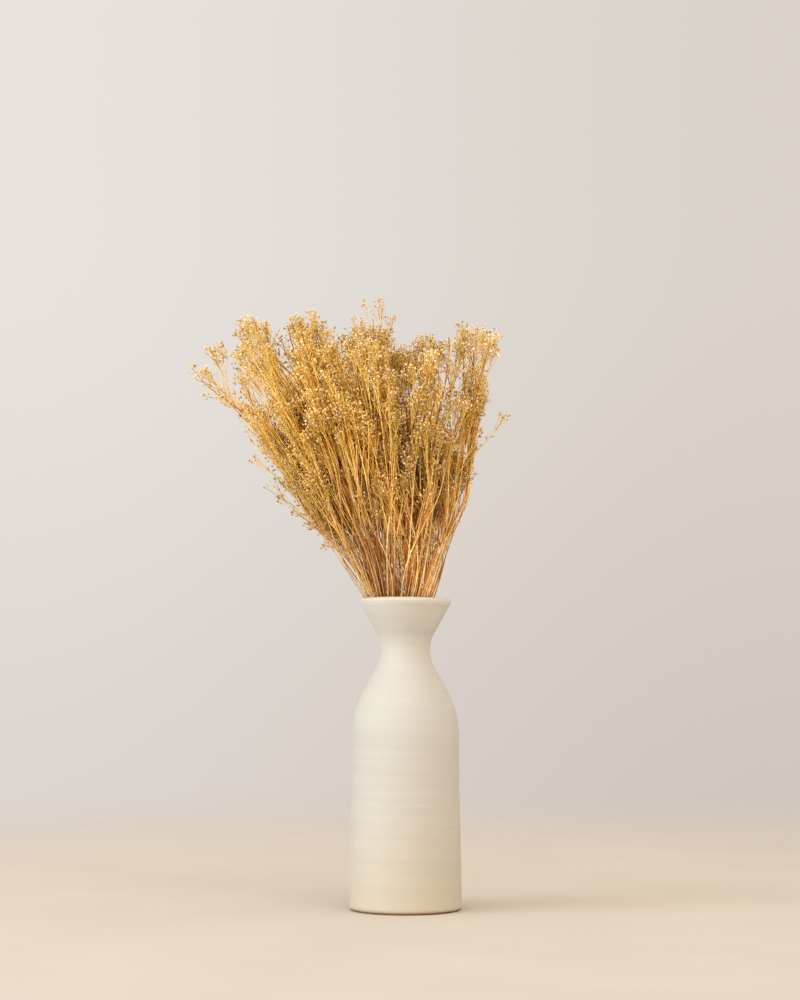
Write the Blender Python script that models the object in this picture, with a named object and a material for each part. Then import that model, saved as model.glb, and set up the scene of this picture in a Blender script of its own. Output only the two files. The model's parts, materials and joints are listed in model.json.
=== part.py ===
"""Bottle-shaped stoneware vase that holds a fanned bunch of dried broom bloom sprays.

Metres, +Z up. The origin is the centre of the vase's foot, on the surface that it stands on. The
bunch leans towards -X. Run it with: blender --background --python part.py
"""

import bisect
import math
import random

import bmesh
import bpy
from mathutils import Matrix, Vector

SEED = 23

# Vase: heights and radii of its turned wall, with the radii that round its corners
VASE_HEIGHT = 0.250
FOOT_RADIUS = 0.0455
FOOT_ROUND = 0.0040
WAIST_RADIUS = 0.0436
WAIST_HEIGHT = 0.095
SHOULDER_HEIGHT = 0.1595
SHOULDER_ROUND = 0.076
NECK_HEIGHT = 0.2085
NECK_RADIUS = 0.0160
NECK_ROUND = 0.028
RIM_RADIUS = 0.0374
RIM_BAND = 0.0055
RIM_ROUND = 0.0030
LIP_WIDTH = 0.0032
LIP_SLOPE = 0.0022
LIP_ROUND = 0.0014
WALL = 0.0048
FLOOR_THICKNESS = 0.0060
FLOOR_ROUND = 0.0070
VASE_SIDES = 36
FACET_SAG = 0.0003
SHARP_ANGLE = math.radians(40)
MERGE_DISTANCE = 1e-6

# Bunch: how the sprays spread from the neck, as rates of widening with height
SPRAYS = 42
CELL_RADIUS = 0.1225
CELL_SPACING = 2.02
CELL_SCATTER = 0.8
SPREADING_PASSES = 400
NECK_SPREAD = 0.0125
FAN_START = 0.218
FAN_BLEND = 0.010
FAN_RATE_X = 0.58
FAN_RATE_Y = 0.45
LEAN_RATE = 0.27
LEAN_START = 0.230
LEAN_BLEND = 0.020
NECK_OFFSET = 0.0025
FOOT_SPREAD_RATE = 0.035
TWIST = 0.8
TWIST_LENGTH = 0.025

# Heights that the tips reach, from one side of the bunch to the other, as (x, z)
CROWN = (
    (-0.178, 0.438),
    (-0.150, 0.461),
    (-0.120, 0.479),
    (-0.082, 0.484),
    (-0.058, 0.463),
    (-0.030, 0.484),
    (0.003, 0.459),
    (0.045, 0.477),
    (0.082, 0.471),
)
CROWN_MIDDLE = 0.478
CROWN_PASSES = 6
SPIKE_X = -0.021
SPIKE_HEIGHT = 0.497
DOME_DROP = 0.024
DOME_DEPTH = 0.100
LONGEST_DROP = 0.080
DROP_POWER = 3

# Stems: every stem bends at these heights, so that neighbours stay side by side between them
STEM_LEVELS = (0.212, 0.252, 0.330, 0.400)
STEM_GAP = 0.0003
STEM_RADIUS = 0.00090
SHOOT_RADIUS = 0.00072
FORK_RADIUS = 0.00040
TWIG_RADIUS = 0.00045
TWIG_ROOT_RADIUS = 0.00030
FORK_HEIGHT = 0.224
FORK_OFFSET = 0.32
SIDE_SHOOT_DROP = (0.012, 0.034)
LAST_STRETCH = 0.034
SIDES = 3
SIDE_SHOOT_SPIN = 0.6
TWIG_SPIN = 0.9

# Twigs and buds
BUD_LENGTH = 0.0048
BUD_RADIUS = 0.0018
BUD_WAIST = 0.45
BUD_LEAN = 0.0014
BUD_SPACING = 0.0058
SPACING_RANGE = (0.8, 1.15)
BUDS_PER_TWIG = 3
TWIGS_ON_MAIN = 3
TWIGS_ON_SIDE = 2
TWIG_RISE = (0.028, 0.046)
BLOOM_START = 0.296
BLOOM_SPAN = 0.160
ROOT_RANGE = (0.1, 0.9)
CLEARANCE = 0.0004
REACH_STEP = 0.9
GOLDEN_ANGLE = math.radians(137.508)

# Twigs that stand clear of the bunch: the side they are on, the height that they leave at, and
# how far they rise and reach
STRAYS = ((1, 0.350, 0.047, 0.028), (-1, 0.338, 0.026, 0.018))


def clear_scene():
    for obj in list(bpy.data.objects):
        bpy.data.objects.remove(obj)


def material(name, colour, roughness):
    made = bpy.data.materials.new(name)
    made.use_nodes = True
    shader = made.node_tree.nodes["Principled BSDF"]
    shader.inputs["Base Color"].default_value = (*colour, 1.0)
    shader.inputs["Roughness"].default_value = roughness
    shader.inputs["Metallic"].default_value = 0.0
    return made


def add_object(name, mesh, finish=None):
    obj = bpy.data.objects.new(name, mesh)
    bpy.context.scene.collection.objects.link(obj)
    if finish:
        mesh.materials.append(finish)
    return obj


# Vase


def rounded(corner, before, after, radius):
    """The points of an arc of that radius which is tangent to both sides of a corner."""
    towards, onwards = (before - corner).normalized(), (after - corner).normalized()
    half = towards.angle(onwards) / 2
    reach = radius / math.tan(half)
    start, end = corner + towards * reach, corner + onwards * reach
    centre = corner + (towards + onwards).normalized() * (radius / math.sin(half))
    turn = math.pi - 2 * half
    step = 2 * math.acos(1 - FACET_SAG / radius)
    count = max(2, math.ceil(turn / step))
    sign = 1 if (start - centre).cross(end - centre) > 0 else -1
    return [
        centre + Matrix.Rotation(sign * turn * i / count, 2) @ (start - centre)
        for i in range(count + 1)
    ]


def vase_profile():
    """Radius and height of the wall, from the foot's centre up the outside and down the inside."""
    inside = WAIST_RADIUS - WALL
    corners = (
        (FOOT_RADIUS, 0.0, FOOT_ROUND),
        (WAIST_RADIUS, WAIST_HEIGHT, 0),
        (WAIST_RADIUS, SHOULDER_HEIGHT, SHOULDER_ROUND),
        (NECK_RADIUS, NECK_HEIGHT, NECK_ROUND),
        (RIM_RADIUS, VASE_HEIGHT - RIM_BAND, RIM_ROUND),
        (RIM_RADIUS, VASE_HEIGHT - LIP_SLOPE, LIP_ROUND),
        (RIM_RADIUS - LIP_WIDTH, VASE_HEIGHT, LIP_ROUND),
        (NECK_RADIUS - WALL, NECK_HEIGHT, NECK_ROUND + WALL),
        (inside, SHOULDER_HEIGHT - WALL / 2, SHOULDER_ROUND - WALL),
        (inside, FLOOR_THICKNESS, FLOOR_ROUND),
    )
    ends = Vector((0.0, 0.0)), Vector((0.0, FLOOR_THICKNESS))
    places = [ends[0], *(Vector(corner[:2]) for corner in corners), ends[1]]
    profile = [ends[0]]
    for i, (_, _, radius) in enumerate(corners, start=1):
        if radius:
            profile += rounded(places[i], places[i - 1], places[i + 1], radius)
        else:
            profile.append(places[i])
    return [*profile, ends[1]]


def build_vase(finish):
    profile = vase_profile()
    shape = bmesh.new()
    ring_points = [shape.verts.new((p.x, 0.0, p.y)) for p in profile]
    edges = [shape.edges.new(pair) for pair in zip(ring_points, ring_points[1:])]
    bmesh.ops.spin(
        shape,
        geom=[*ring_points, *edges],
        axis=(0, 0, 1),
        cent=(0, 0, 0),
        angle=math.tau,
        steps=VASE_SIDES,
        use_merge=True,
    )
    bmesh.ops.remove_doubles(shape, verts=shape.verts, dist=MERGE_DISTANCE)
    middle = [v for v in shape.verts if v.co.xy.length < MERGE_DISTANCE]
    bmesh.ops.dissolve_verts(shape, verts=middle)
    bmesh.ops.recalc_face_normals(shape, faces=shape.faces)
    mesh = bpy.data.meshes.new("vase")
    shape.to_mesh(mesh)
    shape.free()
    mesh.shade_smooth()
    mesh.set_sharp_from_angle(angle=SHARP_ANGLE)
    return add_object("vase", mesh, finish)


# The fan that the sprays follow


def ramp(height, start, blend):
    """0 below start, then the height above it, with a smooth change over about blend."""
    above = height - start
    return (math.hypot(above, blend) + above) / 2


def fan(height):
    """The bunch's cross-section at a height: centre x, half widths in x and y, and turn."""
    opening = ramp(height, FAN_START, FAN_BLEND)
    below = ramp(-height, -FAN_START, FAN_BLEND)
    waist = NECK_SPREAD + FOOT_SPREAD_RATE * below
    centre = NECK_OFFSET - LEAN_RATE * ramp(height, LEAN_START, LEAN_BLEND)
    turn = TWIST * math.atan((height - FAN_START) / TWIST_LENGTH)
    return centre, waist + FAN_RATE_X * opening, waist + FAN_RATE_Y * opening, turn


def place(spot, height):
    """The point of the fan at a spot of its unit disc, at a height."""
    centre, half_x, half_y, turn = fan(height)
    turned = Matrix.Rotation(turn, 2) @ spot
    return Vector((centre + half_x * turned.x, half_y * turned.y, height))


def spot_at(point):
    """The spot of the unit disc that a point of the fan belongs to."""
    centre, half_x, half_y, turn = fan(point.z)
    flat = Vector(((point.x - centre) / half_x, point.y / half_y))
    return Matrix.Rotation(-turn, 2) @ flat


def keep_in_cell(point, cell, margin):
    """The point, drawn in towards its spray until it is at least margin inside the spray's cell."""
    _, half_x, half_y, _ = fan(point.z)
    limit = CELL_RADIUS - margin / min(half_x, half_y)
    offset = spot_at(point) - cell
    if offset.length > limit:
        offset *= max(limit, 0.0) / offset.length
    return place(cell + offset, point.z)


def spray_cells(rng):
    """Spots of the unit disc, one for each spray, scattered and then pushed apart."""
    cells = []
    for i in range(SPRAYS):
        reach = (1 - CELL_RADIUS) * math.sqrt((i + 0.5) / SPRAYS)
        spot = Matrix.Rotation(i * GOLDEN_ANGLE, 2) @ Vector((reach, 0.0))
        scatter = Vector((rng.uniform(-1, 1), rng.uniform(-1, 1))) * CELL_RADIUS * CELL_SCATTER
        cells.append(spot + scatter)
    spacing = CELL_SPACING * CELL_RADIUS
    for _ in range(SPREADING_PASSES):
        for i, first in enumerate(cells):
            for second in cells[:i]:
                apart = first - second
                if apart.length < spacing:
                    push = apart.normalized() * (spacing - apart.length) / 2
                    first += push
                    second -= push
            if first.length > 1 - CELL_RADIUS:
                first *= (1 - CELL_RADIUS) / first.length
    return cells


def crown_height(x):
    """The height that the tips reach at a place across the bunch."""
    places = [p[0] for p in CROWN]
    i = min(max(bisect.bisect(places, x), 1), len(CROWN) - 1)
    (x0, z0), (x1, z1) = CROWN[i - 1 : i + 1]
    share = min(max((x - x0) / (x1 - x0), 0.0), 1.0)
    return z0 + (z1 - z0) * share


def crown_over(cell):
    """The crown's height where a spray reaches it."""
    height = CROWN_MIDDLE
    for _ in range(CROWN_PASSES):
        top = place(cell, height)
        height = crown_height(top.x) - DOME_DROP * (top.y / DOME_DEPTH) ** 2
    return height


def tip_heights(cells, rng):
    """The height of each spray's tip: most reach the crown, and some stay well below it."""
    heights = [crown_over(cell) - LONGEST_DROP * rng.random() ** DROP_POWER for cell in cells]
    spike = Vector((SPIKE_X, 0.0, SPIKE_HEIGHT))
    nearest = min(range(SPRAYS), key=lambda i: (place(cells[i], SPIKE_HEIGHT) - spike).length)
    heights[nearest] = SPIKE_HEIGHT
    return heights


# Skeleton of a spray: each branch is its stops, which are centre points with a radius, its tip,
# and the turn of its flat sides


def square_to(along, turn):
    """The unit vector square to along that lies at an angle round it."""
    side = along.cross(Vector((0.0, 1.0, 0.0))).normalized()
    return Matrix.Rotation(turn, 3, along.normalized()) @ side


def on_path(path, height):
    """The point of a polyline of rising points at a height, which may lie past its ends."""
    i = min(max(bisect.bisect([p.z for p in path], height), 1), len(path) - 1)
    low, high = path[i - 1], path[i]
    return low.lerp(high, (height - low.z) / (high.z - low.z))


def bud_stops(start, end, cell, rng):
    """The stops of a twig that swells into buds, which lean out by turns, and its tip."""
    along = (end - start).normalized()
    turn = rng.uniform(0, math.tau)
    stops = []
    for i in reversed(range(BUDS_PER_TWIG)):
        back = BUD_LENGTH + i * BUD_SPACING * rng.uniform(*SPACING_RANGE)
        turn += GOLDEN_ANGLE
        foot = end - along * back
        lean = square_to(along, turn) * BUD_LEAN
        belly = foot + along * (BUD_LENGTH * BUD_WAIST) + lean
        stops.append((foot, TWIG_RADIUS))
        stops.append((keep_in_cell(belly, cell, BUD_RADIUS + CLEARANCE), BUD_RADIUS))
    return stops, end + lean


def shoot_branch(start, cell, offset, levels, top, root_radius, spin, rng):
    """A shoot that rises from start through the levels, on one side of its cell, to its buds."""
    path = [start]
    for level in (*levels, top):
        aside = offset if level > FORK_HEIGHT else Vector((0.0, 0.0))
        path.append(place(cell + aside, level))
    thinning = (STEM_RADIUS - SHOOT_RADIUS) / top
    stops = [(start, root_radius)] + [(p, STEM_RADIUS - thinning * p.z) for p in path[1:-1]]
    buds, tip = bud_stops(path[-2], path[-1], cell, rng)
    return path, (stops + buds, tip, spin)


def twig_branch(path, root_height, rise, turn, reach, cell, rng):
    """A twig that leaves a shoot square to its face that is at a turn, and ends in buds."""
    root, beyond = on_path(path, root_height), on_path(path, root_height + rise)
    out = square_to(beyond - root, turn)
    end = beyond + out * reach
    while (keep_in_cell(end, cell, BUD_RADIUS + CLEARANCE) - end).length > CLEARANCE:
        reach *= REACH_STEP
        end = beyond + out * reach
    buds, tip = bud_stops(root, end, cell, rng)
    return [(root, TWIG_ROOT_RADIUS), *buds], tip, turn + TWIG_SPIN


def twigs_of(path, spin, other_path, cell, count, rng):
    """Twigs up a shoot, by turns from the two of its faces that look away from the other shoot."""
    top = path[-1].z
    first = max(BLOOM_START, top - BLOOM_SPAN)
    along = on_path(path, top) - on_path(path, first)
    away = on_path(path, top) - on_path(other_path, top)
    turns = [spin + math.tau * (face + 0.5) / SIDES for face in range(SIDES)]
    turns.sort(key=lambda turn: -square_to(along, turn).dot(away))
    found = []
    for i in range(count):
        rise = rng.uniform(*TWIG_RISE)
        last = top - rise
        root_height = first + (last - first) * (i + rng.uniform(*ROOT_RANGE)) / count
        room = CELL_RADIUS * fan(root_height + rise)[2]
        found.append(twig_branch(path, root_height, rise, turns[i % 2], room, cell, rng))
    return found


def spray_branches(cell, top, rng):
    """The branches of one spray: a stem from the vase's floor, a fork in the collar, and twigs."""
    turn = rng.uniform(0, math.tau)
    offset = Vector((math.cos(turn), math.sin(turn))) * CELL_RADIUS * FORK_OFFSET
    floor = place(cell, FLOOR_THICKNESS + STEM_GAP)
    levels = [level for level in STEM_LEVELS if level < top - LAST_STRETCH]
    path, main = shoot_branch(floor, cell, offset, levels, top, STEM_RADIUS, 0.0, rng)
    side_top = top - rng.uniform(*SIDE_SHOOT_DROP)
    side_levels = [level for level in levels if FORK_HEIGHT < level < side_top - LAST_STRETCH]
    fork = on_path(path, FORK_HEIGHT)
    side_path, side = shoot_branch(
        fork, cell, -offset, side_levels, side_top, FORK_RADIUS, SIDE_SHOOT_SPIN, rng
    )
    twigs = twigs_of(path, 0.0, side_path, cell, TWIGS_ON_MAIN, rng)
    twigs += twigs_of(side_path, SIDE_SHOOT_SPIN, path, cell, TWIGS_ON_SIDE, rng)
    return path, [main, side, *twigs]


def stray_twig(path, side, root_height, rise, reach):
    """A twig that leaves the bunch's edge sideways, clear of every cell."""
    root = on_path(path, root_height)
    end = on_path(path, root_height + rise) + Vector((side * reach, 0.0, 0.0))
    along = (end - root).normalized()
    foot = end - along * BUD_LENGTH
    belly = foot.lerp(end, BUD_WAIST)
    return [(root, TWIG_ROOT_RADIUS), (foot, TWIG_RADIUS), (belly, BUD_RADIUS)], end, TWIG_SPIN


# Solids of a spray


def branch_object(stops, tip, spin):
    """A closed tube with flat sides through the stops, which runs out in a point at its tip."""
    centres = [centre for centre, _ in stops] + [tip]
    shape = bmesh.new()
    rings = []
    for i, (centre, radius) in enumerate(stops):
        along = (centres[i + 1] - centres[max(i - 1, 0)]).normalized()
        turns = (spin + math.tau * k / SIDES for k in range(SIDES))
        rings.append([shape.verts.new(centre + square_to(along, t) * radius) for t in turns])
    point = shape.verts.new(tip)
    shape.faces.new(rings[0])
    for i in range(SIDES):
        j = (i + 1) % SIDES
        for low, high in zip(rings, rings[1:]):
            shape.faces.new((low[i], low[j], high[j], high[i]))
        shape.faces.new((rings[-1][i], rings[-1][j], point))
    bmesh.ops.recalc_face_normals(shape, faces=shape.faces)
    mesh = bpy.data.meshes.new("branch")
    shape.to_mesh(mesh)
    shape.free()
    return add_object("branch", mesh)


def fuse(name, pieces, finish):
    """The first piece, joined with the others by one union, as an object of that name.

    Twigs graze each other at narrow angles, where the exact solver leaves open edges.
    """
    body, *others = pieces
    together = bpy.data.collections.new(name)
    for piece in others:
        together.objects.link(piece)
    union = body.modifiers.new("union", "BOOLEAN")
    union.operation = "UNION"
    union.solver = "MANIFOLD"
    union.operand_type = "COLLECTION"
    union.collection = together
    graph = bpy.context.evaluated_depsgraph_get()
    mesh = bpy.data.meshes.new_from_object(body.evaluated_get(graph))
    mesh.name = name
    mesh.materials.clear()
    for piece in pieces:
        bpy.data.objects.remove(piece)
    bpy.data.collections.remove(together)
    return add_object(name, mesh, finish)


def main():
    clear_scene()
    rng = random.Random(SEED)
    build_vase(material("stoneware", (0.80, 0.74, 0.62), 0.75))
    tones = (
        material("bloom_gold", (0.69, 0.43, 0.11), 0.8),
        material("bloom_straw", (0.74, 0.52, 0.20), 0.8),
        material("bloom_amber", (0.60, 0.33, 0.08), 0.8),
    )
    cells = spray_cells(rng)
    tops = tip_heights(cells, rng)
    sprays = [spray_branches(cell, top, rng) for cell, top in zip(cells, tops)]
    for side, root_height, rise, reach in STRAYS:
        outermost = max(range(SPRAYS), key=lambda i: side * place(cells[i], root_height).x)
        path, branches = sprays[outermost]
        branches.append(stray_twig(path, side, root_height, rise, reach))
    for index, (_, branches) in enumerate(sprays, start=1):
        tone = tones[rng.choice((0, 0, 1, 2))]
        fuse(f"spray_{index:02d}", [branch_object(*branch) for branch in branches], tone)


main()
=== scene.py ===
import bisect
import json
import math
import random

import bpy
import numpy as np
from mathutils import Matrix, Vector, noise


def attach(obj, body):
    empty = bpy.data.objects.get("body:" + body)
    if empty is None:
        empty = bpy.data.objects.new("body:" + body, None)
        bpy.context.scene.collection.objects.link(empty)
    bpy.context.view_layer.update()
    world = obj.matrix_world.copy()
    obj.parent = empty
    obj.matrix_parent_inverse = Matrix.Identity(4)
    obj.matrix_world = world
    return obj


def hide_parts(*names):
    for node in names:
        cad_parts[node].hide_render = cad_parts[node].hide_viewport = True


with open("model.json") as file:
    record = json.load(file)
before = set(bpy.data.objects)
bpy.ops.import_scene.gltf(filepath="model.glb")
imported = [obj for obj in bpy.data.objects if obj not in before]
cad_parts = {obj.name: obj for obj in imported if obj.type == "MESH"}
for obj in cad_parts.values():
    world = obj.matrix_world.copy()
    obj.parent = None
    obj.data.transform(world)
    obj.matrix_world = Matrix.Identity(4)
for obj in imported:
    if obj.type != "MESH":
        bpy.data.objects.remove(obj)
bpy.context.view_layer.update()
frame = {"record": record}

# A fine vase and fine sprays in place of the frame's plain ones. Metres, +Z up.

# Seeds of the frame's draws, which are repeated here, and of the fine pieces' own
SEED = 23
FINE_SEED = 5

# Vase: heights and radii of its turned wall, with the radii that round its corners
VASE_HEIGHT = 0.250
FOOT_RADIUS = 0.0455
FOOT_ROUND = 0.0040
WAIST_RADIUS = 0.0436
WAIST_HEIGHT = 0.095
SHOULDER_HEIGHT = 0.1595
SHOULDER_ROUND = 0.076
NECK_HEIGHT = 0.2085
NECK_RADIUS = 0.0160
NECK_ROUND = 0.028
RIM_RADIUS = 0.0374
RIM_BAND = 0.0055
RIM_ROUND = 0.0030
LIP_WIDTH = 0.0032
LIP_SLOPE = 0.0022
LIP_ROUND = 0.0014
WALL = 0.0048
FLOOR_THICKNESS = 0.0060
FLOOR_ROUND = 0.0070
TURNED_SIDES = 112
TURNED_STEP = 0.0030
ARC_STEP = math.radians(9)
ARC_LEAST_STEPS = 4

# Throwing rings as (length, depth, phase), and the heights that they fade in and out over
THROWING_RINGS = ((0.0061, 0.00009, 0.4), (0.0102, 0.00008, 2.1), (0.0237, 0.00009, 4.0))
RINGS_START = 0.010
RINGS_FADE = 0.006
RINGS_INSET = 0.0003

# The wall's other unevenness, and the rim band's
OUT_OF_ROUND = 0.00025
OVAL_TWIST = 25
RIM_TILT = 0.0010

# The rim's wave: its rise in front, at the sides and to one side, and where it starts
RIM_WAVE = (0.0019, 0.0010, -0.0003)
RIM_WAVE_FROM = 0.226

# Bunch: how the sprays spread from the neck, as rates of widening with height
SPRAYS = 42
CELL_RADIUS = 0.1225
CELL_SPACING = 2.02
CELL_SCATTER = 0.8
SPREADING_PASSES = 400
NECK_SPREAD = 0.0125
FAN_START = 0.218
FAN_BLEND = 0.010
FAN_RATE_X = 0.58
FAN_RATE_Y = 0.45
LEAN_RATE = 0.27
LEAN_START = 0.230
LEAN_BLEND = 0.020
NECK_OFFSET = 0.0025
FOOT_SPREAD_RATE = 0.035
TWIST = 0.8
TWIST_LENGTH = 0.025

# Heights that the tips reach, from one side of the bunch to the other, as (x, z)
CROWN = (
    (-0.178, 0.438), (-0.150, 0.461), (-0.120, 0.479), (-0.082, 0.484), (-0.058, 0.463),
    (-0.030, 0.484), (0.003, 0.459), (0.045, 0.477), (0.082, 0.471),
)
CROWN_MIDDLE = 0.478
CROWN_PASSES = 6
SPIKE_X = -0.021
SPIKE_HEIGHT = 0.497
DOME_DROP = 0.024
DOME_DEPTH = 0.100
LONGEST_DROP = 0.080
DROP_POWER = 3

# The plain sprays of the frame, whose stems and twigs the fine ones follow
STEM_LEVELS = (0.212, 0.252, 0.330, 0.400)
STEM_GAP = 0.0003
FORK_HEIGHT = 0.224
FORK_OFFSET = 0.32
SIDE_SHOOT_DROP = (0.012, 0.034)
LAST_STRETCH = 0.034
SIDES = 3
SIDE_SHOOT_SPIN = 0.6
BUD_RADIUS = 0.0018
SPACING_RANGE = (0.8, 1.15)
BUDS_PER_TWIG = 3
TWIGS_ON_MAIN = 3
TWIGS_ON_SIDE = 2
TWIG_RISE = (0.028, 0.046)
BLOOM_START = 0.296
BLOOM_SPAN = 0.160
ROOT_RANGE = (0.1, 0.9)
CLEARANCE = 0.0004
REACH_STEP = 0.9
GOLDEN_ANGLE = math.radians(137.508)

# Twigs that stand clear of the bunch: their side, root height, rise and reach
STRAYS = ((1, 0.350, 0.047, 0.028), (-1, 0.338, 0.026, 0.018))

# Outline of the fine bunch: heights that it reaches across, as (x, z)
FINE_CROWN = (
    (-0.178, 0.439), (-0.168, 0.441), (-0.164, 0.459), (-0.150, 0.459), (-0.146, 0.445),
    (-0.141, 0.479), (-0.100, 0.481), (-0.090, 0.480), (-0.080, 0.486), (-0.066, 0.484),
    (-0.060, 0.464), (-0.052, 0.467), (-0.042, 0.480), (-0.032, 0.478), (-0.027, 0.472),
    (-0.012, 0.476), (-0.004, 0.458), (0.004, 0.464), (0.020, 0.470), (0.032, 0.467),
    (0.037, 0.460), (0.043, 0.481), (0.053, 0.474), (0.064, 0.476), (0.076, 0.478),
    (0.082, 0.473),
)

# Its left and right edges at heights, as (z, left, right)
FLANKS = (
    (0.250, -0.033, 0.023), (0.265, -0.043, 0.028), (0.284, -0.055, 0.034),
    (0.306, -0.071, 0.042), (0.330, -0.089, 0.051), (0.346, -0.097, 0.053),
    (0.362, -0.104, 0.055), (0.379, -0.117, 0.057), (0.405, -0.139, 0.063),
    (0.421, -0.160, 0.069), (0.435, -0.177, 0.073), (0.450, -0.178, 0.079),
    (0.500, -0.178, 0.084),
)

# Heights of the lowest heads across the bunch
LOW_EDGE = ((-0.100, 0.322), (-0.070, 0.306), (-0.045, 0.304), (0.0, 0.328), (0.055, 0.340))

# Places where the bunch is thin and lets light through, as (x, z, half width, half height)
THIN_PLACES = (
    (0.034, 0.420, 0.013, 0.026), (0.052, 0.388, 0.010, 0.016), (0.060, 0.447, 0.011, 0.014),
    (-0.160, 0.421, 0.009, 0.010), (-0.144, 0.428, 0.010, 0.015), (-0.124, 0.421, 0.008, 0.009),
    (-0.113, 0.401, 0.007, 0.006), (-0.101, 0.459, 0.008, 0.022), (0.038, 0.452, 0.004, 0.010),
    (-0.040, 0.312, 0.014, 0.016), (0.016, 0.330, 0.008, 0.016),
)
THIN_MARGIN = 0.004

# Heads that stand on their own, as (x, y, z): on the top spike, the left wing and left flank
SPIKE_HEADS = (
    (-0.021, 0.002, 0.497), (-0.022, 0.0, 0.489), (-0.012, -0.004, 0.482),
    (-0.043, 0.003, 0.480), (-0.009, -0.030, 0.454), (-0.002, -0.034, 0.450),
    (0.004, -0.028, 0.456),
)
WING_HEADS = (
    (-0.176, 0.004, 0.440), (-0.163, -0.006, 0.455), (-0.154, 0.004, 0.459),
    (-0.158, 0.010, 0.451), (-0.160, 0.000, 0.457), (-0.152, -0.008, 0.454),
    (-0.1374, 0.002, 0.4337), (-0.1333, -0.006, 0.4304), (-0.1285, 0.006, 0.4345),
    (-0.1262, -0.002, 0.4190), (-0.1390, 0.004, 0.4130), (-0.1310, -0.004, 0.4070),
)
FLANK_HEADS = (
    (-0.110, -0.010, 0.345), (-0.106, 0.008, 0.338), (-0.093, -0.006, 0.326),
    (-0.081, 0.0, 0.316),
)

# Fine stems, and where they stand in a spray's cell, as (degrees, share of its radius)
STEM_SPOTS = (
    (0.0, 0.36), (180.0, 0.36), (90.0, 0.60), (270.0, 0.60), (40.0, 0.86), (160.0, 0.86),
    (300.0, 0.86),
)
STEM_RADII = (0.00035, 0.00028)
STEM_THICKNESS = (0.45, 1.80)
STEM_SIDES = 4
STEM_POINTS = 28
STEM_LOW_POINTS = 5
STEM_LIMIT = 0.90
SWAY = 0.26
SWAY_START = 0.255
SWAY_GROWTH = 0.10
SWAY_LENGTH = (0.12, 0.26)
DRIFT = 0.23
CROSSING = 0.35
EXTRA_DROP = (0.004, 0.090)
STEM_SHORT = 0.006
WAY_STEP = 0.01
TWIG_SIDES = 3

# Bare side stubs on the stems' lower part
STUBS_ON_STEM = 16
STUB_HEIGHTS = (0.285, 0.385)
STUB_LENGTH = (0.0025, 0.0085)
STUB_RADII = (0.00024, 0.00010)
STUB_LEAN = (0.12, 0.55)

# Heads: how many a stem bears, in all sprays and in the airy ones
HEADS_ON_STEM = 5.2
AIRY_SHARE = 0.2
SPIKE_SHARE = 0.6
AIRY_STEMS = 4
AIRY_EDGE = -0.138

# Heads under the crown, and heads further down, which gather in patches
HEAD_TRIES = 60
TOP_SHARE = 0.50
TOP_DROP = 0.028
TOP_POWER = 1.5
TOP_SCATTER = 0.42
LOW_SCATTER = 0.55
DEEPEST_DROP = 0.125
DEPTH_POWER = 1.3
DROP_SHARE = 0.6
DRAW_OUT = 1.14
PATCH_RATE = 30.0
PATCH_LEVEL = -0.06
PATCH_RISE = 0.24
LOW_UNEVEN = 0.022
BARE_FRONT = (-0.026, 0.384, 0.035)
FLANK_WIDTH = 0.032
NOTCH_REACH = 0.005
LEFT_MARGIN = 0.009
RIGHT_MARGIN = 0.005
FRONT_REACH = 0.101

# Heads led to places along the crown
LEADERS = 215
LEADER_DEPTH = 0.032
LEADER_DROP = 0.021
LEADER_POWER = 1.2
LEADER_FROM = -0.142

# Twigs, each of which ends in a head
TWIG_CLIMB = (0.036, 0.090)
LOWEST_ROOT = 0.300
TWIG_TURN = 0.5
TWIG_POINTS = 6
TWIG_RADII = (0.00042, 0.00025)

# Rays, which spread from a twig's end to a domed head
RAYS = (3, 7)
CLEAR_RAYS = 3
CLEAR_MARGIN = 0.003
HEAD_RADIUS = (0.0040, 0.0092)
HEAD_DOME = 0.0040
HEAD_UNEVEN = 0.0042
HEAD_TILT = 0.10
RAY_SPREAD = (0.80, 1.15)
RAY_LENGTH = (0.009, 0.028)
RAY_LONGEST = 0.8
FLARE = 0.5
RAY_POINTS = 4
RAY_RADII = (0.00024, 0.00017)
RAY_BEND = 0.5

# Buds on short stalks round a ray's end, and small ones along twigs
BUDS_ROUND = (0, 5)
BUDS_REACH = 0.0034
BUDS_SPREAD = (0.45, 1.0)
BUDS_BELOW = (-0.0008, 0.0060)
STALK_ROOTS = (0.35, 0.80)
STALK_POINTS = 2
STALK_RADIUS = 0.00014
FLECKS = (1, 6)
AIRY_FLECKS = (0, 3)
FLECK_SHARES = (0.30, 0.95)
FLECK_STEP = 0.04
FLECK_LEAN = (0.3, 1.2)
FLECK_REACH = (0.0008, 0.0018)

# A bud's form, by its length: an open one's mouth is ragged in width and height
BUD_SIZES = (0.0018, 0.0031)
FLECK_SIZES = (0.0016, 0.0028)
BUD_SIDES = 5
BUD_SLENDER = 0.34
BUD_BELLY = 0.46
OPEN_BELLY = (0.80, 0.36)
MOUTH = (1.0, 0.82, 1.05, 0.9, 0.78)
MOUTH_WIDTH = (0.55, 0.62)
MOUTH_HEIGHT = (0.25, 0.72)
BUD_TILT = 0.36
OPEN_SHARE = 0.35

# Materials of stems and stalks: colours low down and high up, and the tint of their grain
STEM_FINISHES = (
    ("stem_gold", (0.94, 0.73, 0.41), (0.98, 0.70, 0.19), (0.90, 0.77, 0.56)),
    ("stem_tan", (0.90, 0.60, 0.31), (0.96, 0.59, 0.15), (0.87, 0.73, 0.52)),
    ("stem_brown", (0.52, 0.25, 0.08), (0.50, 0.20, 0.02), (0.74, 0.59, 0.40)),
    ("stalk_straw", (0.95, 0.67, 0.29), (0.97, 0.71, 0.24), (0.88, 0.79, 0.60)),
)
STALK_FINISH = 3

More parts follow.
